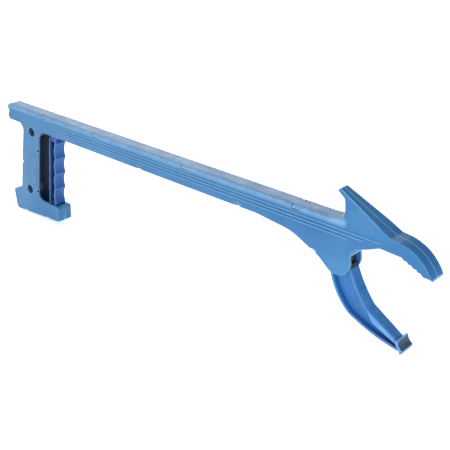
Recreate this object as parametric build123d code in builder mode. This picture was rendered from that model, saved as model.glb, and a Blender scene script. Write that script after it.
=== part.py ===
from build123d import *
import os
from math import atan2, cos, degrees, radians, sin

# A squeeze-handled hand reacher, moulded in plastic. Millimetres. +X runs along the beam to the
# jaws, +Y is the user's left, +Z is up. The origin is the centre of the upper hole in the grip,
# on the joint face between the two shells.

# ---- Shells ---------------------------------------------------------------
half_width = 11.0          # one shell, from the joint face to its side
wall = 2.5
inner_half = half_width - wall
beam_top = 30.0
beam_bottom = 5.0
edge_round = 1.0
shoulder_round = 4.0       # long upper edges of the beam
seam_chamfer = 0.3

# ---- Beam ribs and snap windows -------------------------------------------
rib_z = (21.8, 17.9, 14.1)
rib_start_x = (46.0, 63.0, 80.0)
rib_end_x = (557.0, 539.0, 521.0)
rib_width = 1.4
rib_height = 0.8
rib_crown = 0.5
window_x = (31.0, 138.0, 297.0, 455.0)
window_length = 10.0
window_depth = 5.0
window_slot = 1.3
catch_y = 7.8
catch_width = 4.4
catch_depth = 4.0
bottom_notch_x = (220.0, 378.0)

# ---- Grip -----------------------------------------------------------------
grip_hole_r = 7.0
lower_hole = (-19.2, -90.0)
hole_tube_r = 9.0
foot_front = (43.5, -122.6)
foot_rear = (-57.5, -130.2)
foot_groove = 1.3
notch_size = (7.0, 4.0, 3.6)

# ---- Linkage --------------------------------------------------------------
rod_z = 17.0
rod_r = 2.5
rod_travel = 25.3
pin_r = 2.0                # the two pins that join the rod to trigger and jaw
eye_half = 1.5             # half thickness of the rod's flattened ends
slot_play = 0.3
trigger_pivot = (26.7, -112.0)
trigger_lean = 8.5         # degrees, forwards of upright at rest
trigger_arm = 130.0        # pivot to rod pin
trigger_half = 8.0
trigger_pin_r = 3.0
jaw_pivot = (508.7, -13.1)
jaw_close = 47.5           # degrees of travel until the tips meet
jaw_half = 7.0
jaw_pin_r = 3.5
jaw_hub_r = 11.5
running_play = 0.05
lobe_r = 16.5

# ---- Return spring --------------------------------------------------------
spring_seat_x = 84.0
spring_length = 60.0
spring_r = 4.7
spring_wire_r = 0.6
spring_pitch = 4.0
collar_r = 6.2
collar_length = 3.0
spring_gap = 0.3

# ---- Inside and ends of the shells ------------------------------------------
horn_taper_z = 34.0        # above this the horn thins towards its tip
horn_tip_half = 5.5
horn_tip_z = 62.0
shoulder_fade = 12.0
shoulder_end = 492.0
guide_x = (200.0, 330.0, 430.0)
guide_length = 2.5
rod_clearance = 0.6
post_places = [
    (165, 10.9),
    (250, 10.9),
    (350, 10.9),
    (400, 10.9),
    (560, 22.8),
    (-10, -28),
    (-20, -68),
    (-40, -114),
]
post_r = 3.0
peg_r = 2.0
peg_length = 3.0
blind_depth = 1.2          # how far pin seats go into the side wall
trigger_boss_r = 6.0
trigger_eye_half = 5.0
jaw_boss_r = 8.0
side_play = 0.3
snap_notches = [
    (-36, -128.6),
    (17, -124.6),
    (480, -12.8),
    (-30.6, -50),
    (11.5, -24.8),
    (0.7, -88),
]
tooth_r = 3.4
tooth_count = 5
tooth_pitch = 5.6
tooth_depth = 1.3

# ---- Trigger's own shape -----------------------------------------------------
finger_count = 4
finger_pitch = 23.0
finger_low = 16.5
finger_crest = 8.6
finger_valley = 5.4
trigger_rear = -7.0
trigger_top = finger_low + finger_count * finger_pitch
trigger_eye_r = 6.5
flange = 2.2
rear_flange = 1.5
web_half = 1.5
fork_r = 5.5
fork_half = 6.0
fork_gap_half = eye_half + 0.35
fork_gap_depth = 9.0

# ---- Lower jaw's own shape ---------------------------------------------------
jaw_flange = 2.6
hub_relief_r = 14.0
lever_width = 8.5
lip_half = 10.0
lip_top = (584.6, -74.8)
lip_bottom = (591.2, -84.6)
lip_dish = 1.5
lip_thickness = 3.9        # from the lip's chord to its back
magnet_half_y = 9.2
magnet_height = 10.2
magnet_depth = 2.8         # from the lip's chord
tip_ribs_y = (-4.8, -2.4, 0, 2.4, 4.8)
tip_rib_width = 0.9
tip_rib_height = 0.45
outer_root = (498.5, -22.0)
outer_bend = (525.5, -70.0)
outer_tip = (587.0, -88.2)
inner_root = (523.0, -16.0)
inner_bend = (547.0, -55.8)
inner_tip = (581.0, -77.2)

# ---- Pull rod's own shape ----------------------------------------------------
end_margin = 2.2
rod_end_gap = 9.0          # from a pin's centre to the round bar
bar_lap = 8.0              # how far a flattened end runs along the bar
rear_slot_play = 1.4
front_slot_play = 1.9

# ---- Worked out from the above ------------------------------------------------
jaw_arm = rod_travel / (2 * sin(radians(jaw_close / 2)))
jaw_rod_pin = (
    jaw_pivot[0] + jaw_arm * sin(radians(jaw_close / 2)),
    jaw_pivot[1] + jaw_arm * cos(radians(jaw_close / 2)),
)
trigger_rod_pin = (
    trigger_pivot[0] + trigger_arm * sin(radians(trigger_lean)),
    trigger_pivot[1] + trigger_arm * cos(radians(trigger_lean)),
)


def lobe_point(angle):
    return (
        jaw_pivot[0] + lobe_r * cos(radians(angle)),
        jaw_pivot[1] + lobe_r * sin(radians(angle)),
    )


def lobe_tangent(angle, distance):
    """A point on the lobe's tangent line, a distance on from where it leaves the lobe."""
    start = lobe_point(angle)
    return (
        start[0] - distance * sin(radians(angle)),
        start[1] + distance * cos(radians(angle)),
    )


# ---- Side outline, shared by both shells ----------------------------------
handle_corners = [
    (60, beam_bottom),
    (17.5, beam_bottom),
    (-0.5, -100.5),
    (45.3, -100.5),
    foot_front,
    foot_rear,
    (-60.5, -100.5),
    (-39.5, -92),
    (-27, -33),
    (-17.5, 8),
    (-50.5, 8),
    (-52.8, 15.5),
    (-48.6, 20),
    (-52.8, 25),
    (-50.5, beam_top),
    (-30, beam_top),
]
handle_radii = [15, 9.5, 3, 2.5, 5, 5, 3, 60, 9, 4, 2.5, 3, 2, 2.5]

tooth_root = (577.0, 15.0)
tooth_tip = (604.5, 2.8)
jaw_nose = (613.0, 1.5)
mouth_corners = [
    lobe_point(10),
    lobe_tangent(10, 6),
    (527, 4),
    (546, 11.4),
    (556, 16),
    tooth_root,
]
mouth_radii = [3, 5, 30, 8]
belly_corners = [lobe_point(-130), lobe_tangent(-130, -14), (452, beam_bottom - 5), (405, beam_bottom)]
belly_radii = [25, 60]
horn_corners = [
    (577, 29),
    (567, 30),
    (505.5, 61),
    (500.5, 59.8),
    (511.8, 52.5),
    (514.3, 42),
    (512.5, beam_top),
    (480, beam_top),
]
horn_radii = [3, 2, 1.5, 5, 8, 9]

with BuildSketch(Plane.XZ) as side_profile:
    with BuildLine():
        FilletPolyline(*handle_corners, radius=handle_radii)
        Line(handle_corners[-1], horn_corners[-1])
        FilletPolyline(*horn_corners, radius=horn_radii)
        ThreePointArc((577, 29), (603.5, 15.5), jaw_nose)
        ThreePointArc(jaw_nose, (608.7, 3.0), tooth_tip)
        Line(tooth_tip, tooth_root)
        FilletPolyline(*mouth_corners, radius=mouth_radii)
        ThreePointArc(lobe_point(10), lobe_point(-60), lobe_point(-130))
        FilletPolyline(*belly_corners, radius=belly_radii)
        Line((405, beam_bottom), handle_corners[0])
    make_face()

# ---- Hollow of the shells: rooms for rod, trigger and jaw ------------------
with BuildSketch(Plane.XZ) as hollow_profile:
    with BuildLine():                                   # beam and head
        Polyline(
            (-46, beam_bottom + wall + 4),
            (-43, beam_top - wall),
            (562, beam_top - wall),
            (578, beam_top - 4.5),
            (596, 17),
            (604, 8),
            (602, 7),
            (578, 18),
            (556, 18.5),
            (543, 13.5),
            (528, 8),
            (523.4, 3),
            (521, -4),
            (496, -20),
            (484, -12),
            (462, -2),
            (440, 5.5),
            (410, beam_bottom + wall),
            (-43, beam_bottom + wall),
            close=True,
        )
    make_face()
    with BuildLine():                                   # grip, open to the front
        Polyline(
            (-14.5, 12),
            (-14.5, 6),
            (-24, -33),
            (-36.5, -92),
            (-57, -103),
            (-58, -112),
            (-55, -127.5),
            (41, -120.2),
            (42.5, -103.5),
            (38, -103.5),
            (38, -96),
            (54, -20),
            (54, 12),
            close=True,
        )
    make_face()
    with Locations(jaw_pivot):                          # room for the jaw's hub
        Circle(lobe_r + 1)
    with BuildLine():                                   # the wall stays at the lobe's rear
        Polyline(
            (480, -60),
            (495.5, -60),
            (495.5, -19),
            (480, -10),
            close=True,
        )
    make_face(mode=Mode.SUBTRACT)


# ---- Shell blank, near side (-Y): everything the two shells share ----------
seam_outer = Plane.XZ.offset(half_width)


def shoulder_waste(x, radius):
    """What rounding leaves over at the beam's upper outer corner, as a section at x."""
    side = -half_width
    with BuildSketch(Plane.YZ.offset(x)) as section:
        with BuildLine():
            Polyline(
                (side + radius, beam_top),
                (side + radius, beam_top + 1),
                (side - 1, beam_top + 1),
                (side - 1, beam_top - radius),
                (side, beam_top - radius),
            )
            RadiusArc((side, beam_top - radius), (side + radius, beam_top), radius)
        make_face()
    return section.sketch


def side_rib(z, start, end):
    """A long rib with a rounded crown, sunk a little into the side."""
    with BuildPart() as rib:
        with BuildSketch(seam_outer.offset(-0.2)):
            with Locations(((start + end) / 2, z)):
                SlotOverall(end - start, rib_width)
        extrude(amount=rib_height + 0.2)
        fillet(rib.faces().sort_by(Axis.Y)[0].edges(), rib_crown)
    return rib.part


with BuildPart() as shell_blank:
    extrude(side_profile.sketch, amount=half_width)
    chamfer(faces().sort_by(Axis.Y)[-1].edges(), seam_chamfer)
    fillet(faces().sort_by(Axis.Y)[0].edges(), edge_round)

    # long rounded shoulder, fading out at the horn's root
    long_waste = shoulder_waste(-60, shoulder_round)
    extrude(long_waste, amount=60 + shoulder_end, mode=Mode.SUBTRACT)
    fade_from = shoulder_waste(shoulder_end, shoulder_round)
    fade_to = shoulder_waste(shoulder_end + shoulder_fade, edge_round)
    loft([fade_from, fade_to], mode=Mode.SUBTRACT)

    # the horn thins towards its tip
    with BuildSketch(Plane.YZ.offset(490)):
        with BuildLine():
            Polyline(
                (-half_width, horn_taper_z),
                (-half_width - 2, horn_taper_z),
                (-half_width - 2, horn_tip_z),
                (-horn_tip_half, horn_tip_z),
                close=True,
            )
        make_face()
    extrude(amount=80, mode=Mode.SUBTRACT)

    extrude(hollow_profile.sketch, amount=inner_half, mode=Mode.SUBTRACT)

    # gripping teeth: shallow scallops across the upper jaw
    slope = Vector(*tooth_tip) - Vector(*tooth_root)
    outward = Vector(slope.Y, -slope.X).normalized()
    for step in range(tooth_count):
        along = (step + 0.5) * tooth_pitch / slope.length
        centre = Vector(*tooth_root) + slope * along + outward * (tooth_r - tooth_depth)
        with BuildSketch(Plane.XZ.offset(-1)):
            with Locations((centre.X, centre.Y)):
                Circle(tooth_r)
        extrude(amount=half_width + 3, mode=Mode.SUBTRACT)

    # cross ribs inside the beam: the spring's seat and the rod's guides
    for x in (spring_seat_x - guide_length, *guide_x):
        with BuildSketch(Plane.YZ.offset(x)):
            with Locations((0, (beam_top + beam_bottom) / 2)):
                Rectangle(
                    inner_half + 0.2,
                    beam_top - beam_bottom - 2 * wall + 0.2,
                    align=(Align.MAX, Align.CENTER),
                )
            with Locations((0, rod_z)):
                Circle(rod_r + rod_clearance, mode=Mode.SUBTRACT)
        extrude(amount=guide_length)

    # tubes round the grip holes, up to the seam
    with BuildSketch(Plane.XZ):
        with Locations((0, 0), lower_hole):
            Circle(hole_tube_r)
    extrude(amount=inner_half + 0.2)

    # posts that join the halves, up to the seam
    with BuildSketch(Plane.XZ):
        with Locations(*post_places):
            Circle(post_r)
    extrude(amount=inner_half + 0.2)

    # pivot bosses and their blind seats
    for pivot, boss_r, boss_half, seat_r in (
        (trigger_pivot, trigger_boss_r, trigger_eye_half, trigger_pin_r),
        (jaw_pivot, jaw_boss_r, jaw_half, jaw_pin_r),
    ):
        with BuildSketch(Plane.XZ.offset(boss_half + side_play)):
            with Locations(pivot):
                Circle(boss_r)
        extrude(amount=inner_half - boss_half - side_play + 0.2)
        with BuildSketch(Plane.XZ.offset(boss_half)):
            with Locations(pivot):
                Circle(seat_r)
        extrude(amount=inner_half + blind_depth - boss_half, mode=Mode.SUBTRACT)

    # holes through the grip
    with BuildSketch(Plane.XZ.offset(-1)):
        with Locations((0, 0), lower_hole):
            Circle(grip_hole_r)
    extrude(amount=half_width + 3, mode=Mode.SUBTRACT)

    # snap windows: a slot on three sides of a tongue, cut in the shoulder
    for x in window_x:
        tongue_depth = window_depth - window_slot
        with BuildSketch(Plane.YZ.offset(x - window_length / 2)):
            with Locations((-half_width + window_depth / 2, beam_top - window_depth / 2)):
                Rectangle(window_depth, window_depth)
        extrude(amount=window_slot, mode=Mode.SUBTRACT)
        with BuildSketch(Plane.YZ.offset(x - window_length / 2)):
            with Locations((-half_width + window_depth / 2, beam_top - window_depth / 2)):
                Rectangle(window_depth, window_depth)
            with Locations((-half_width + tongue_depth / 2, beam_top - tongue_depth / 2)):
                Rectangle(tongue_depth, tongue_depth, mode=Mode.SUBTRACT)
        extrude(amount=window_length, mode=Mode.SUBTRACT)

    # notches in the outer lower edges, over the snap hooks
    notch_places = [(x, beam_bottom + 1.5) for x in bottom_notch_x] + snap_notches
    with Locations(*[(x, -half_width, z) for x, z in notch_places]):
        Box(*notch_size, mode=Mode.SUBTRACT)

    # groove down the foot's front, along the joint
    with Locations((foot_front[0] + 1, 0, -112)):
        Box(3.4, foot_groove, 26, mode=Mode.SUBTRACT)

    # three raised ribs along the side
    for z, start, end in zip(rib_z, rib_start_x, rib_end_x):
        add(side_rib(z, start, end))

    # fine grip ribs on the handle's side
    with BuildSketch(seam_outer.offset(-0.2)):
        with Locations(Location((-12.5, -57), -11)):
            with GridLocations(15.5, 2.1, 2, 23):
                Rectangle(13.5, 0.9)
    extrude(amount=0.35 + 0.2)

with BuildPart() as right_shell:
    add(shell_blank.part)
    with BuildSketch(Plane.XZ.offset(-peg_length)):
        with Locations(*post_places):
            Circle(peg_r)
    extrude(amount=peg_length + 1)

with BuildPart() as left_shell:
    add(mirror(shell_blank.part, about=Plane.XZ))
    with BuildSketch(Plane.XZ.offset(-peg_length - 0.5)):
        with Locations(*post_places):
            Circle(peg_r)
    extrude(amount=peg_length + 1, mode=Mode.SUBTRACT)
    for x in window_x:                                  # catch windows, open where the tongues are
        with Locations((x, catch_y, beam_top)):
            Box(window_length, catch_width, 2 * catch_depth, mode=Mode.SUBTRACT)


# ---- Trigger ---------------------------------------------------------------
lean = radians(trigger_lean)
trigger_plane = Plane(                                  # local: forwards, up along the trigger
    origin=(trigger_pivot[0], 0, trigger_pivot[1]),
    x_dir=(cos(lean), 0, -sin(lean)),
    z_dir=(0, -1, 0),
)


def finger_profile(inset, bottom, top):
    """The trigger's broad part seen from the side, drawn in by an inset."""
    crest = finger_crest - inset
    valley = finger_valley - inset
    rear = trigger_rear + min(inset, rear_flange)
    with BuildSketch() as profile:
        with BuildLine():
            for finger in range(finger_count):
                high = trigger_top - finger * finger_pitch
                ThreePointArc(
                    (crest, high),
                    (valley, high - finger_pitch / 2),
                    (crest, high - finger_pitch),
                )
            Polyline(
                (crest, finger_low),
                (crest - 3, bottom),
                (rear, bottom),
                (rear, top),
                (crest - 2, top),
                (crest, trigger_top),
            )
        make_face()
    return profile.sketch


with BuildPart() as trigger:
    extrude(trigger_plane * finger_profile(0, 9, trigger_top + 3), amount=trigger_half, both=True)
    fillet(edges().group_by(Axis.Y)[0] + edges().group_by(Axis.Y)[-1], 0.7)
    for side in (1, -1):                                # recess on each side of the web
        recess = finger_profile(flange, 8, trigger_top + 4)
        extrude(
            trigger_plane.offset(side * web_half) * recess,
            amount=side * trigger_half,
            mode=Mode.SUBTRACT,
        )
    with BuildSketch(trigger_plane):                    # pivot eye and its shank
        Circle(trigger_eye_r)
        with Locations((-0.5, 7)):
            Rectangle(11, 14)
    extrude(amount=trigger_eye_half, both=True)
    with BuildSketch(trigger_plane):                    # neck and fork for the rod
        with Locations((0, (trigger_top + trigger_arm) / 2)):
            Rectangle(2 * fork_r, trigger_arm - trigger_top)
        with Locations((0, trigger_arm)):
            Circle(fork_r)
    extrude(amount=fork_half, both=True)
    with BuildSketch(trigger_plane):
        with Locations((0, trigger_arm + fork_r - fork_gap_depth)):
            Rectangle(30, 2 * fork_gap_depth)
    extrude(amount=fork_gap_half, both=True, mode=Mode.SUBTRACT)
    with BuildSketch(trigger_plane):
        Circle(trigger_pin_r + running_play)
        with Locations((0, trigger_arm)):
            Circle(pin_r)
    extrude(amount=half_width, both=True, mode=Mode.SUBTRACT)


# ---- Lower jaw -------------------------------------------------------------

def jaw_arm_outline(tip_overrun):
    """The arm seen from the side, with its tip run on forwards by an overrun."""
    outer = (outer_tip[0] + tip_overrun, outer_tip[1])
    inner = (inner_tip[0] + tip_overrun, inner_tip[1])
    with BuildSketch() as outline:
        with BuildLine():
            ThreePointArc(outer_root, (506, -46.5), outer_bend)
            ThreePointArc(outer_bend, (549, -79.8), outer)
            Polyline(outer, inner, inner_bend)
            ThreePointArc(inner_bend, (533.2, -37), inner_root)
            Line(inner_root, outer_root)
        make_face()
    return outline.sketch


jaw_arm_profile = jaw_arm_outline(0)

with BuildSketch() as jaw_recess_profile:               # runs out through the tip, behind the lip
    add(jaw_arm_outline(jaw_flange + 1))
    offset(amount=-jaw_flange)
    with Locations(jaw_pivot):
        Circle(hub_relief_r, mode=Mode.SUBTRACT)

with BuildSketch() as tip_rib_profile:                  # the gripping edge, grown by a rib's height
    add(jaw_arm_profile)
    offset(amount=tip_rib_height)
    with BuildLine():
        Polyline((534, -42), (552, -70), (579, -82), (592, -68), (560, -30), close=True)
    make_face(mode=Mode.INTERSECT)

lip_middle = (Vector(*lip_top) + Vector(*lip_bottom)) / 2
lip_along = (Vector(*lip_bottom) - Vector(*lip_top)).normalized()
lip_normal = Vector(-lip_along.Y, lip_along.X)
lip_angle = degrees(atan2(lip_along.Y, lip_along.X))
lever_tilt = -jaw_close / 2

with BuildSketch() as lip_profile:                      # flared lip with a dished face
    with BuildLine():
        ThreePointArc(lip_top, tuple(lip_middle - lip_normal * lip_dish)[:2], lip_bottom)
        lip_back = [
            tuple(Vector(*end) - lip_normal * lip_thickness)[:2] for end in (lip_bottom, lip_top)
        ]
        Polyline(lip_bottom, (590.2, -87.6), (587, -88.6), *lip_back, lip_top)
    make_face()


def magnet_room(height):
    """The slot in the lip's face that takes the magnet, seen from the side."""
    with BuildSketch() as room:
        with Locations(Location((lip_middle.X, lip_middle.Y, 0), lip_angle)):
            Rectangle(height, 2 * magnet_depth)
    return room.sketch


with BuildPart() as lower_jaw:
    extrude(Plane.XZ * jaw_arm_profile, amount=jaw_half, both=True)
    fillet(edges().group_by(Axis.Y)[0] + edges().group_by(Axis.Y)[-1], 0.7)
    for side in (1, -1):                                # recess on each side of the web
        extrude(
            Plane.XZ.offset(side * web_half) * jaw_recess_profile.sketch_local,
            amount=side * jaw_half,
            mode=Mode.SUBTRACT,
        )
    with BuildSketch(Plane.XZ):                         # hub
        with Locations(jaw_pivot):
            Circle(jaw_hub_r)
    extrude(amount=jaw_half, both=True)
    with BuildSketch(Plane.XZ):                         # lever up to the rod, a fork at its end
        with Locations(Location((*jaw_pivot, 0), lever_tilt)):
            with Locations((0, jaw_arm / 2)):
                Rectangle(lever_width, jaw_arm)
            with Locations((0, jaw_arm)):
                Circle(fork_r)
    extrude(amount=fork_half, both=True)
    with BuildSketch(Plane.XZ):
        with Locations(Location((*jaw_pivot, 0), lever_tilt)):
            with Locations((0, jaw_arm + fork_r - fork_gap_depth)):
                Rectangle(30, 2 * fork_gap_depth)
    extrude(amount=fork_gap_half, both=True, mode=Mode.SUBTRACT)
    for y in tip_ribs_y:                                # fine ribs on the gripping side
        extrude(
            Plane.XZ.offset(y - tip_rib_width / 2) * tip_rib_profile.sketch_local,
            amount=tip_rib_width,
        )
    extrude(Plane.XZ * lip_profile.sketch, amount=lip_half, both=True)
    extrude(
        Plane.XZ * magnet_room(magnet_height),
        amount=magnet_half_y,
        both=True,
        mode=Mode.SUBTRACT,
    )
    with BuildSketch(Plane.XZ):
        with Locations(jaw_pivot):
            Circle(jaw_pin_r + running_play)
        with Locations(jaw_rod_pin):
            Circle(pin_r)
    extrude(amount=half_width, both=True, mode=Mode.SUBTRACT)

with BuildPart() as jaw_magnet:
    magnet_profile = lip_profile.sketch & magnet_room(magnet_height - 2 * running_play)
    extrude(Plane.XZ * magnet_profile, amount=magnet_half_y - running_play, both=True)


# ---- Pull rod --------------------------------------------------------------
rod_start = trigger_rod_pin[0] + rod_end_gap
rod_end = jaw_rod_pin[0] - rod_end_gap
rear_slot = 2 * (pin_r + rear_slot_play)
front_slot = 2 * (pin_r + front_slot_play)

with BuildPart() as pull_rod:
    with BuildSketch(Plane.YZ.offset(rod_start)):
        with Locations((0, rod_z)):
            Circle(rod_r)
    extrude(amount=rod_end - rod_start)
    for pin_x, bar_x, slot in (
        (trigger_rod_pin[0], rod_start + bar_lap, rear_slot),
        (jaw_rod_pin[0], rod_end - bar_lap, front_slot),
    ):
        with BuildSketch(Plane.XZ):                     # flattened end
            with Locations((pin_x, rod_z)):
                SlotOverall(slot + 2 * end_margin, 2 * (pin_r + slot_play + end_margin), rotation=90)
            with Locations(((pin_x + bar_x) / 2, rod_z)):
                Rectangle(abs(pin_x - bar_x), 2 * rod_r + 1)
        extrude(amount=eye_half, both=True)
    for pin_x, slot in ((trigger_rod_pin[0], rear_slot), (jaw_rod_pin[0], front_slot)):
        with BuildSketch(Plane.XZ):                     # upright slot for the pin
            with Locations((pin_x, rod_z)):
                SlotOverall(slot, 2 * (pin_r + slot_play), rotation=90)
        extrude(amount=half_width, both=True, mode=Mode.SUBTRACT)


# ---- Pins ------------------------------------------------------------------
def cross_pin(place, radius, half_length):
    """A plain steel pin along Y with eased ends."""
    with BuildPart() as pin:
        with BuildSketch(Plane.XZ):
            with Locations(place):
                Circle(radius)
        extrude(amount=half_length, both=True)
        chamfer(pin.edges().filter_by(GeomType.CIRCLE), 0.3)
    return pin.part


seat_reach = inner_half + blind_depth - 0.1
trigger_pivot_pin = cross_pin(trigger_pivot, trigger_pin_r, seat_reach)
jaw_pivot_pin = cross_pin(jaw_pivot, jaw_pin_r, seat_reach)
trigger_rod_joint = cross_pin(trigger_rod_pin, pin_r, fork_half)
jaw_rod_joint = cross_pin(jaw_rod_pin, pin_r, fork_half)


# ---- Return spring and its collar on the rod --------------------------------
coil_start = spring_seat_x + spring_gap + spring_wire_r
coil_length = spring_length - 2 * (spring_gap + spring_wire_r)

with BuildPart() as return_spring:
    with BuildLine() as coil:
        Helix(
            pitch=spring_pitch,
            height=coil_length,
            radius=spring_r,
            center=(coil_start, 0, rod_z),
            direction=(1, 0, 0),
        )
    with BuildSketch(Plane(origin=coil.line @ 0, z_dir=coil.line % 0)):
        Circle(spring_wire_r)
    sweep(is_frenet=True)

with BuildPart() as spring_collar:
    with BuildSketch(Plane.YZ.offset(spring_seat_x + spring_length)):
        with Locations((0, rod_z)):
            Circle(collar_r)
            Circle(rod_r, mode=Mode.SUBTRACT)
    extrude(amount=collar_length)
    chamfer(edges().filter_by(GeomType.CIRCLE).group_by(SortBy.RADIUS)[-1], 0.5)


# ---- Write every piece -----------------------------------------------------
pieces = {
    "right_shell": right_shell.part,
    "left_shell": left_shell.part,
    "trigger": trigger.part,
    "trigger_pivot_pin": trigger_pivot_pin,
    "trigger_rod_pin": trigger_rod_joint,
    "pull_rod": pull_rod.part,
    "return_spring": return_spring.part,
    "spring_collar": spring_collar.part,
    "lower_jaw": lower_jaw.part,
    "jaw_pivot_pin": jaw_pivot_pin,
    "jaw_rod_pin": jaw_rod_joint,
    "jaw_magnet": jaw_magnet.part,
}
os.makedirs("parts", exist_ok=True)
for name, piece in pieces.items():
    piece.label = name
    export_step(piece, f"parts/{name}.step")
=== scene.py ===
import math
from collections import namedtuple

import bmesh
import bpy
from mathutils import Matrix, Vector


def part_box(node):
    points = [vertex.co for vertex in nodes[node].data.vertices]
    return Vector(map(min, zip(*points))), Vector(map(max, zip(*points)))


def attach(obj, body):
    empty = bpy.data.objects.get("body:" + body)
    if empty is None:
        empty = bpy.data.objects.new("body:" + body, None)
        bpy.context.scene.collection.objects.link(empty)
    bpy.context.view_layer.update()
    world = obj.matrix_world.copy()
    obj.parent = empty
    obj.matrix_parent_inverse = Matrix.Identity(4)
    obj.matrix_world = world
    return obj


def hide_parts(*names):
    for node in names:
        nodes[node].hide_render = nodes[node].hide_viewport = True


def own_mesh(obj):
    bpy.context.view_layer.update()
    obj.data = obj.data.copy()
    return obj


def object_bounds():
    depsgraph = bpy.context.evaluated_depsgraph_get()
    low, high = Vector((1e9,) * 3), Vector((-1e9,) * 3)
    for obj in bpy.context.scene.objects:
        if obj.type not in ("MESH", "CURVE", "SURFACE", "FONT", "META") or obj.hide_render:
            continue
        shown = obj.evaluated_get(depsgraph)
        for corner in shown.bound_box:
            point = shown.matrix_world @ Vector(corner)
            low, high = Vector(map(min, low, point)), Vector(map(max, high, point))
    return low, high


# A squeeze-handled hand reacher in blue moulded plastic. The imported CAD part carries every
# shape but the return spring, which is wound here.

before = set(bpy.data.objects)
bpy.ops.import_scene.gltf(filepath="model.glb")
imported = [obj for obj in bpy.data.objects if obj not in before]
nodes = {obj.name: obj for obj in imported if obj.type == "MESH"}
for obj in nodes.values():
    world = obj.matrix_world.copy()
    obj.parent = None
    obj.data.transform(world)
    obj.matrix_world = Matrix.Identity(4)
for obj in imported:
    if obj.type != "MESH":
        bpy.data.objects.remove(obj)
cad_box = [list(corner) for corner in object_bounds()]
low, high = (Vector(corner) for corner in cad_box)
size = high - low
centre = (low + high) / 2
scene = bpy.context.scene
MM = 0.001


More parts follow.
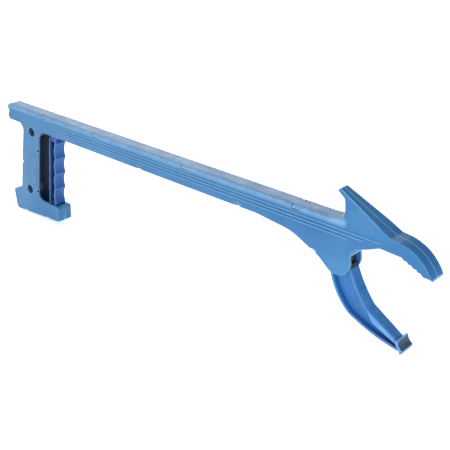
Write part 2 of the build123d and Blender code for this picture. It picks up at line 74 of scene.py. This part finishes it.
# ---- Node helpers ----------------------------------------------------------
class Graph:
    """One material's nodes, added and joined by name."""

    def __init__(self, name):
        self.material = bpy.data.materials.new(name)
        self.material.use_nodes = True
        self.tree = self.material.node_tree
        self.tree.nodes.clear()
        self.place = self.node("ShaderNodeTexCoord").outputs["Object"]

    def node(self, kind, **settings):
        made = self.tree.nodes.new(kind)
        for key, value in settings.items():
            setattr(made, key, value)
        return made

    def feed(self, socket, value):
        if isinstance(value, bpy.types.NodeSocket):
            self.tree.links.new(value, socket)
        else:
            socket.default_value = value

    def stretched(self, scale):
        mapping = self.node("ShaderNodeMapping")
        self.feed(mapping.inputs["Vector"], self.place)
        mapping.inputs["Scale"].default_value = scale
        return mapping.outputs["Vector"]

    def noise(self, scale, detail=2.0, rough=0.5, vector=None, warp=0.0):
        made = self.node("ShaderNodeTexNoise")
        self.feed(made.inputs["Vector"], vector or self.place)
        made.inputs["Scale"].default_value = scale
        made.inputs["Detail"].default_value = detail
        made.inputs["Roughness"].default_value = rough
        made.inputs["Distortion"].default_value = warp
        return made.outputs["Fac"]

    def math(self, operation, first, second=0.0, clamp=False):
        made = self.node("ShaderNodeMath", operation=operation, use_clamp=clamp)
        self.feed(made.inputs[0], first)
        self.feed(made.inputs[1], second)
        return made.outputs[0]

    def remap(self, value, start, end, to_start=0.0, to_end=1.0):
        made = self.node("ShaderNodeMapRange", clamp=True)
        self.feed(made.inputs["Value"], value)
        made.inputs["From Min"].default_value = start
        made.inputs["From Max"].default_value = end
        made.inputs["To Min"].default_value = to_start
        made.inputs["To Max"].default_value = to_end
        return made.outputs["Result"]

    def mix(self, share, first, second, blend="MIX"):
        made = self.node("ShaderNodeMix", data_type="RGBA", blend_type=blend, clamp_factor=True)
        self.feed(made.inputs["Factor"], share)
        self.feed(made.inputs["A"], first)
        self.feed(made.inputs["B"], second)
        return made.outputs["Result"]

    def along(self, axis):
        made = self.node("ShaderNodeSeparateXYZ")
        self.feed(made.inputs["Vector"], self.place)
        return made.outputs[axis]

    def within(self, start, end, fade):
        """1 inside a box, 0 outside it."""
        share = 1.0
        for axis, first, last in zip("XYZ", start, end):
            off = self.math("SUBTRACT", self.along(axis), (first + last) / 2)
            off = self.math("ABSOLUTE", off)
            half = (last - first) / 2
            share = self.math("MULTIPLY", share, self.remap(off, half, half + fade, 1.0, 0.0))
        return share

    def facing(self, direction):
        """1 on faces turned towards a direction, 0 on those turned away."""
        turned = self.node("ShaderNodeVectorMath", operation="DOT_PRODUCT")
        self.feed(turned.inputs[0], self.node("ShaderNodeNewGeometry").outputs["Normal"])
        turned.inputs[1].default_value = direction
        return self.remap(turned.outputs["Value"], 0.05, 0.45)

    def edges(self, radius, start, end):
        """1 on sharp edges within a radius, 0 on flats."""
        rounded = self.node("ShaderNodeBevel", samples=6)
        rounded.inputs["Radius"].default_value = radius
        true = self.node("ShaderNodeNewGeometry").outputs["Normal"]
        dot = self.node("ShaderNodeVectorMath", operation="DOT_PRODUCT")
        self.feed(dot.inputs[0], rounded.outputs["Normal"])
        self.feed(dot.inputs[1], true)
        return self.remap(dot.outputs["Value"], 1 - start, 1 - end)

    def shut_in(self, distance):
        """1 in the open, towards 0 in creases and slots."""
        made = self.node("ShaderNodeAmbientOcclusion", samples=6, only_local=True)
        made.inputs["Distance"].default_value = distance
        return made.outputs["AO"]

    def rims(self, distance):
        """1 along outer edges and on walls thinner than the distance, 0 on thick flats."""
        made = self.node("ShaderNodeAmbientOcclusion", samples=8, only_local=True, inside=True)
        made.inputs["Distance"].default_value = distance
        return self.remap(made.outputs["AO"], 0.90, 0.62)

    def bump(self, height, depth, strength=1.0, under=None):
        made = self.node("ShaderNodeBump")
        made.inputs["Strength"].default_value = strength
        made.inputs["Distance"].default_value = depth
        self.feed(made.inputs["Height"], height)
        if under is not None:
            self.feed(made.inputs["Normal"], under)
        return made.outputs["Normal"]

    def surface(self, colour, roughness, normal, **constants):
        shader = self.node("ShaderNodeBsdfPrincipled")
        self.feed(shader.inputs["Base Color"], colour)
        self.feed(shader.inputs["Roughness"], roughness)
        self.feed(shader.inputs["Normal"], normal)
        for name, value in constants.items():
            shader.inputs[name.replace("_", " ")].default_value = value
        output = self.node("ShaderNodeOutputMaterial")
        self.tree.links.new(shader.outputs["BSDF"], output.inputs["Surface"])
        return self.material


def colour(red, green, blue):
    return (red, green, blue, 1.0)


# ---- Materials --------------------------------------------------------------
RIM_WIDTH = 1.25 * MM      # how far the painted edge highlight reaches in from an outer edge
# how far the painted shade looks into creases and into hollows
CREASE_REACH = 3.0 * MM
HOLLOW_REACH = 20.0 * MM
SHADE_PATCH_EDGE = 1.2 * MM      # soft edge round a patch of painted shade
SHEEN_BAND_EDGE = 5.0 * MM       # soft edge round a band of painted sheen
SHOULDER_INNER = 7.6 * MM  # from the joint face between the shells to the rounded shoulder
SHOULDER_OUTER = 8.8 * MM

# A patch of painted shade: the box it lies in, the way its faces look, how much it covers, its
# colour.
ShadePatch = namedtuple("ShadePatch", "start end side share tint")
# A band of painted sheen: the box it lies in.
SheenBand = namedtuple("SheenBand", "start end")


def moulded_plastic(
    name, body, pale, deep, highlight_colour, roughness, flow,
    side_face=None, hollow_shade_share=0.94, shade_patch=None, sheen_band=None,
):
    """Satin moulded plastic: flow marks along the mould, fine spark texture, a painted highlight
    along outer edges, painted shade in creases and hollows, and hairline scratches. A side face
    has a painted highlight on its raised ribs, a shade patch is painted shade on faces turned one
    way, and a sheen band is a painted sheen."""
    g = Graph(name)
    clouds = g.remap(g.noise(11.0, 3.0, 0.55), 0.35, 0.68)
    streaks = g.remap(g.noise(26.0, 4.0, 0.6, g.stretched(flow), 0.4), 0.38, 0.66)
    mottle = g.remap(g.noise(420.0, 2.0, 0.6), 0.40, 0.62)
    tint = g.mix(g.math("MULTIPLY", clouds, 0.55), body, pale)
    tint = g.mix(g.math("MULTIPLY", streaks, 0.28), tint, deep)
    tint = g.mix(g.math("MULTIPLY", mottle, 0.10), tint, deep)

    patchy = g.remap(g.noise(95.0, 3.0, 0.6), 0.30, 0.62, 0.60, 1.0)
    # painted highlight along outer edges, broken up by noise; it also lowers the roughness there
    edge_highlight = g.math("MULTIPLY", g.rims(RIM_WIDTH), patchy)
    tint = g.mix(g.math("MULTIPLY", edge_highlight, 0.85), tint, highlight_colour)
    if side_face is not None:                           # painted highlight on the ribs that stand out of the side face
        out = g.math("ABSOLUTE", g.along("Y"))
        rib_highlight = g.remap(out, side_face + 0.08 * MM, side_face + 0.40 * MM)
        tint = g.mix(g.math("MULTIPLY", rib_highlight, 0.75), tint, pale)
        edge_highlight = g.math("MAXIMUM", edge_highlight, rib_highlight)

    if sheen_band is not None:
        # painted sheen on the beam's rounded shoulders, kept off the top between them
        shoulder_sheen = g.math("MULTIPLY", g.within(sheen_band.start, sheen_band.end, SHEEN_BAND_EDGE), patchy)
        outside = g.remap(g.math("ABSOLUTE", g.along("Y")), SHOULDER_INNER, SHOULDER_OUTER)
        shoulder_sheen = g.math("MULTIPLY", shoulder_sheen, outside)
        tint = g.mix(g.math("MULTIPLY", shoulder_sheen, 0.50), tint, highlight_colour)

    # painted shade in creases and slots, which also dulls them
    crease_shade = g.remap(g.shut_in(CREASE_REACH), 0.22, 0.80, 1.0, 0.0)
    tint = g.mix(g.math("MULTIPLY", crease_shade, 0.72), tint, deep)
    # painted shade deep in hollows
    hollow_shade = g.remap(g.shut_in(HOLLOW_REACH), 0.10, 0.55, 1.0, 0.0)
    tint = g.mix(g.math("MULTIPLY", hollow_shade, hollow_shade_share), tint, HOLLOW_SHADE_COLOUR)
    if shade_patch is not None:
        # painted shade on faces turned one way within a box
        room = g.within(shade_patch.start, shade_patch.end, SHADE_PATCH_EDGE)
        shaded_faces = g.math("MULTIPLY", room, g.facing(shade_patch.side))
        cover = g.remap(patchy, 0.60, 1.0, shade_patch.share - 0.14, shade_patch.share)
        tint = g.mix(g.math("MULTIPLY", shaded_faces, cover), tint, shade_patch.tint)

    hair = g.noise(900.0, 1.0, 0.4, g.stretched((0.04, 1.0, 0.5)), 0.8)
    scratch = g.remap(hair, 0.66, 0.72)
    scratch = g.math("MULTIPLY", scratch, g.remap(g.noise(22.0, 2.0), 0.45, 0.65))
    tint = g.mix(g.math("MULTIPLY", scratch, 0.16), tint, pale)

    sheen_map = g.remap(g.noise(60.0, 4.0, 0.6), 0.30, 0.70, roughness - 0.05, roughness + 0.07)
    dull = g.math("ADD", sheen_map, g.math("MULTIPLY", crease_shade, 0.12))
    gloss = g.math("SUBTRACT", dull, g.math("MULTIPLY", edge_highlight, 0.12), clamp=True)

    sink = g.bump(g.noise(38.0, 2.0, 0.4), 0.25 * MM, 0.35)
    grain = g.bump(g.noise(2600.0, 2.0, 0.6), 0.020 * MM, 0.55, sink)
    normal = g.bump(g.math("MULTIPLY", scratch, -1.0), 0.010 * MM, 0.5, grain)
    return g.surface(tint, gloss, normal, IOR=1.47, Specular_IOR_Level=0.32)


def steel(name, bright, dark, roughness, lines, line_scale):
    """Bare steel: fine drawing or turning lines, dull patches and painted shade in the creases.
    """
    g = Graph(name)
    fine = g.noise(line_scale, 3.0, 0.7, g.stretched(lines))
    patches = g.remap(g.noise(140.0, 4.0, 0.6), 0.35, 0.68)
    tint = g.mix(g.remap(fine, 0.35, 0.65, 0.0, 0.45), bright, dark)
    tint = g.mix(g.math("MULTIPLY", patches, 0.35), tint, dark)
    # painted shade in the creases
    steel_crease_shade = g.remap(g.shut_in(2.0 * MM), 0.20, 0.80, 0.55, 0.0)
    tint = g.mix(steel_crease_shade, tint, dark)
    gloss = g.remap(patches, 0.0, 1.0, roughness - 0.06, roughness + 0.12)
    rub = g.edges(0.4 * MM, 0.02, 0.25)
    gloss = g.math("SUBTRACT", gloss, g.math("MULTIPLY", rub, 0.08), clamp=True)
    normal = g.bump(fine, 0.012 * MM, 0.6)
    normal = g.bump(g.noise(1500.0, 2.0), 0.006 * MM, 0.4, normal)
    return g.surface(tint, gloss, normal, Metallic=1.0)


def ferrite(name):
    """Sintered ferrite: dark grey-blue, finely pitted, with ground lines and pale corners."""
    g = Graph(name)
    speck = g.noise(1700.0, 3.0, 0.7)
    cloud = g.remap(g.noise(160.0, 3.0, 0.6), 0.35, 0.65)
    tint = g.mix(cloud, colour(0.030, 0.052, 0.090), colour(0.056, 0.090, 0.148))
    tint = g.mix(g.remap(speck, 0.56, 0.70, 0.0, 0.6), tint, colour(0.10, 0.14, 0.21))
    rub = g.edges(0.5 * MM, 0.02, 0.25)
    tint = g.mix(g.math("MULTIPLY", rub, 0.5), tint, colour(0.20, 0.22, 0.27))
    ground = g.noise(800.0, 2.0, 0.6, g.stretched((1.0, 0.06, 1.0)))
    gloss = g.remap(speck, 0.30, 0.70, 0.42, 0.62)
    normal = g.bump(ground, 0.02 * MM, 0.6)
    normal = g.bump(speck, 0.03 * MM, 0.7, normal)
    return g.surface(tint, gloss, normal, Metallic=0.0, IOR=1.6)


def pale_floor(name):
    """A plain white sweep with a barely visible tooth."""
    g = Graph(name)
    shade = g.remap(g.noise(7.0, 3.0), 0.3, 0.7, 0.0, 1.0)
    tint = g.mix(shade, colour(0.90, 0.90, 0.90), colour(0.93, 0.93, 0.93))
    normal = g.bump(g.noise(900.0, 2.0), 0.02 * MM, 0.2)
    glow = {"Emission_Color": colour(1.0, 1.0, 1.0), "Emission_Strength": 0.55}
    return g.surface(tint, 0.9, normal, Specular_IOR_Level=0.1, **glow)


BODY_BLUE = colour(0.036, 0.166, 0.360)
PALE_BLUE = colour(0.094, 0.290, 0.505)
DEEP_BLUE = colour(0.018, 0.094, 0.280)
LIMB_BLUE = colour(0.022, 0.120, 0.360)
LIMB_PALE = colour(0.070, 0.270, 0.560)
LIMB_DEEP = colour(0.010, 0.056, 0.250)
LEVER_BLUE = colour(0.020, 0.092, 0.340)
LEVER_PALE = colour(0.055, 0.190, 0.500)
LEVER_DEEP = colour(0.010, 0.050, 0.230)
# pale colours for the painted edge highlight and the painted shoulder sheen
HIGHLIGHT_BLUE = colour(0.360, 0.580, 0.830)
HIGHLIGHT_LIMB = colour(0.180, 0.400, 0.690)
# colour of the painted shade deep in hollows
HOLLOW_SHADE_COLOUR = colour(0.026, 0.030, 0.038)

SIDE_FACE = 11.0 * MM      # from the joint face between the shells to their flat sides
INNER_FACE = 9.2 * MM      # just short of the shells' side walls
BEAM_RISE = 13.0 * MM      # from the rod's axis to the beam's top face

trigger_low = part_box("trigger")[0]
grip_inside = ShadePatch(        # painted shade in the hollow of the grip behind the trigger
    start=(low.x, -INNER_FACE, trigger_low.z + 22 * MM),
    end=(trigger_low.x + 4 * MM, INNER_FACE, trigger_low.z + 122 * MM),
    side=(0.6, -0.8, 0),
    share=0.96,
    tint=colour(0.105, 0.112, 0.135),
)

rod_low, rod_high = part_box("pull_rod")
beam_top = (rod_low.z + rod_high.z) / 2 + BEAM_RISE
# where the painted sheen lies along the beam's rounded shoulder
beam_shoulder = SheenBand(
    start=(low.x, low.y, beam_top - 2.0 * MM),
    end=(rod_high.x - 12 * MM, high.y, beam_top + 1.0 * MM),
)

pivot = sum(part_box("jaw_pivot_pin"), Vector()) / 2
jaw_hub = ShadePatch(            # painted shade on the hub and lever between the shells
    start=tuple(pivot + Vector((-16, -12, -6)) * MM),
    end=tuple(pivot + Vector((24, 12, 48)) * MM),
    side=(0.7, -0.6, 0.4),
    share=0.97,
    tint=colour(0.016, 0.015, 0.015),
)

materials = {
    "shell_plastic": moulded_plastic(
        "shell_plastic_look", BODY_BLUE, PALE_BLUE, DEEP_BLUE, HIGHLIGHT_BLUE, 0.40,
        # painted shade in the grip's hollow and painted sheen on the beam's shoulder
        (0.10, 1.0, 1.0), SIDE_FACE, shade_patch=grip_inside, sheen_band=beam_shoulder,
    ),
    "trigger_plastic": moulded_plastic(
        "trigger_plastic_look", LEVER_BLUE, LEVER_PALE, LEVER_DEEP, HIGHLIGHT_LIMB, 0.42,
        (1.0, 1.0, 0.12),
    ),
    "jaw_plastic": moulded_plastic(
        "jaw_plastic_look", LIMB_BLUE, LIMB_PALE, LIMB_DEEP, HIGHLIGHT_LIMB, 0.40,
        # less painted shade in the jaw's hollows, and a patch of painted shade on its hub
        (0.35, 1.0, 0.35), hollow_shade_share=0.80, shade_patch=jaw_hub,
    ),
    "collar_plastic": moulded_plastic(
        "collar_plastic_look",
        colour(0.55, 0.54, 0.50),
        colour(0.70, 0.69, 0.65),
        colour(0.33, 0.32, 0.29),
        # colour of the painted edge highlight
        colour(0.78, 0.77, 0.74),
        0.38,
        (1.0, 1.0, 1.0),
    ),
    "pin_steel": steel(
        "pin_steel_look", colour(0.62, 0.62, 0.61), colour(0.30, 0.30, 0.31), 0.30,
        (0.3, 1.0, 0.3), 1400.0,
    ),
    "rod_steel": steel(
        "rod_steel_look", colour(0.60, 0.60, 0.60), colour(0.28, 0.28, 0.29), 0.32,
        (0.03, 1.0, 1.0), 1800.0,
    ),
    "spring_steel": steel(
        "spring_steel_look", colour(0.48, 0.48, 0.49), colour(0.16, 0.16, 0.17), 0.34,
        (1.0, 1.0, 1.0), 1600.0,
    ),
    "magnet": ferrite("magnet_look"),
}
slot_of = {"return_spring": "spring_steel"}
for name, piece in nodes.items():
    slot_of.setdefault(name, piece.data.materials[0].name)
    piece.data.materials.clear()
    piece.data.materials.append(materials[slot_of[name]])


# ---- Return spring ----------------------------------------------------------
WIRE_RADIUS = 0.6 * MM
WIRE_SIDES = 12
STEPS_PER_TURN = 40
FREE_TURNS = 13
CLOSED_TURNS = 1.25        # flat turns at each end
CLOSED_PITCH = 2 * WIRE_RADIUS * 1.02


def wind_spring(node):
    """A compression spring with closed ends in the room the CAD spring takes."""
    start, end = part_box(node)
    wire = WIRE_RADIUS
    radius = (end.z - start.z) / 2 - wire
    axis_y, axis_z = (start.y + end.y) / 2, (start.z + end.z) / 2
    first, last = start.x + wire, end.x - wire
    flat = CLOSED_PITCH * CLOSED_TURNS
    turns = FREE_TURNS + 2 * CLOSED_TURNS

    def along(turn):
        if turn < CLOSED_TURNS:
            return first + flat * turn / CLOSED_TURNS
        if turn > turns - CLOSED_TURNS:
            return last - flat * (turns - turn) / CLOSED_TURNS
        return first + flat + (last - first - 2 * flat) * (turn - CLOSED_TURNS) / FREE_TURNS

    count = int(turns * STEPS_PER_TURN)
    line = []
    for step in range(count + 1):
        turn = turns * step / count
        angle = turn * math.tau
        spot = (along(turn), axis_y + radius * math.cos(angle), axis_z + radius * math.sin(angle))
        line.append((Vector(spot), angle))

    mesh = bmesh.new()
    rings = []
    for spot, angle in line:
        outward = Vector((0, math.cos(angle), math.sin(angle)))
        ring = []
        for side in range(WIRE_SIDES):
            turn = math.tau * side / WIRE_SIDES
            offset = outward * math.cos(turn) + Vector((1, 0, 0)) * math.sin(turn)
            ring.append(mesh.verts.new(spot + offset * wire))
        rings.append(ring)
    for before, after in zip(rings, rings[1:]):
        for side in range(WIRE_SIDES):
            following = (side + 1) % WIRE_SIDES
            mesh.faces.new((before[side], before[following], after[following], after[side]))
    mesh.faces.new(rings[0])
    mesh.faces.new(rings[-1])
    bmesh.ops.recalc_face_normals(mesh, faces=mesh.faces)
    data = bpy.data.meshes.new("spring_coil")
    mesh.to_mesh(data)
    mesh.free()
    for face in data.polygons:
        face.use_smooth = len(face.vertices) == 4
    piece = bpy.data.objects.new("spring_coil", data)
    scene.collection.objects.link(piece)
    data.materials.append(materials["spring_steel"])
    return piece


spring = wind_spring("return_spring")
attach(spring, "frame")
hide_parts("return_spring")
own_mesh(spring)


# ---- Studio -----------------------------------------------------------------
FLOOR_REACH = 6.0          # metres


def floor():
    mesh = bmesh.new()
    bmesh.ops.create_grid(mesh, x_segments=1, y_segments=1, size=FLOOR_REACH)
    data = bpy.data.meshes.new("floor")
    mesh.to_mesh(data)
    mesh.free()
    plane = bpy.data.objects.new("floor", data)
    plane.location = (centre.x, centre.y, low.z)
    data.materials.append(pale_floor("floor_look"))
    scene.collection.objects.link(plane)


def softbox(name, direction, distance, width, height, power, tint=(1.0, 1.0, 1.0)):
    """An area light that faces the middle of the object from a direction."""
    away = Vector(direction).normalized()
    data = bpy.data.lights.new(name, "AREA")
    data.shape = "RECTANGLE"
    data.size, data.size_y = width, height
    data.energy = power
    data.color = tint
    lamp = bpy.data.objects.new(name, data)
    lamp.location = centre + away * distance
    lamp.rotation_mode = "QUATERNION"
    lamp.rotation_quaternion = (-away).to_track_quat("-Z", "Y")
    scene.collection.objects.link(lamp)


WARM = (1.0, 0.985, 0.95)
WARM_RIM = (1.0, 0.98, 0.95)
SKY = (0.45, 0.78, 1.0)
# The shoulder and back lamps stand where the beam's rounded corner and its top mirror them.
floor()
softbox("overhead", (-0.25, -0.1, 1.0), 1.8, 2.2, 1.6, 5.0)
softbox("front", (-0.25, -1.0, 0.32), 1.8, 1.3, 1.1, 10.5, WARM)
softbox("shoulder", (-0.609, -0.435, 0.663), 1.8, 1.2, 0.7, 6.0, WARM)
softbox("back_rim", (-0.609, 0.663, 0.435), 2.0, 1.7, 0.8, 19.0, WARM_RIM)
softbox("jaw_fill", (1.0, -0.50, 0.25), 0.95, 0.5, 0.5, 3.6, SKY)

world = bpy.data.worlds.new("studio")
scene.world = world
world.use_nodes = True
background = world.node_tree.nodes["Background"]
background.inputs["Color"].default_value = (0.90, 0.95, 1.0, 1.0)
background.inputs["Strength"].default_value = 0.31

# ---- Camera -----------------------------------------------------------------
AIM_SHARE = (0.609, 0.5, 0.521)     # of the way through the box
CAMERA_AZIMUTH = 42.6
CAMERA_ELEVATION = 25.8
CAMERA_DISTANCE = 0.9019
aim = Vector(low[i] + size[i] * AIM_SHARE[i] for i in range(3))
turn, rise = math.radians(CAMERA_AZIMUTH), math.radians(CAMERA_ELEVATION)
back = Vector(
    (math.sin(turn) * math.cos(rise), -math.cos(turn) * math.cos(rise), math.sin(rise))
)
lens = bpy.data.cameras.new("camera")
lens.sensor_width = 36.0
lens.lens = 64.0
lens.clip_start, lens.clip_end = 0.02, 30.0
camera = bpy.data.objects.new("camera", lens)
camera.location = aim + back * CAMERA_DISTANCE
camera.rotation_mode = "QUATERNION"
camera.rotation_quaternion = (-back).to_track_quat("-Z", "Y")
scene.collection.objects.link(camera)
scene.camera = camera
scene.view_settings.view_transform = "Standard"
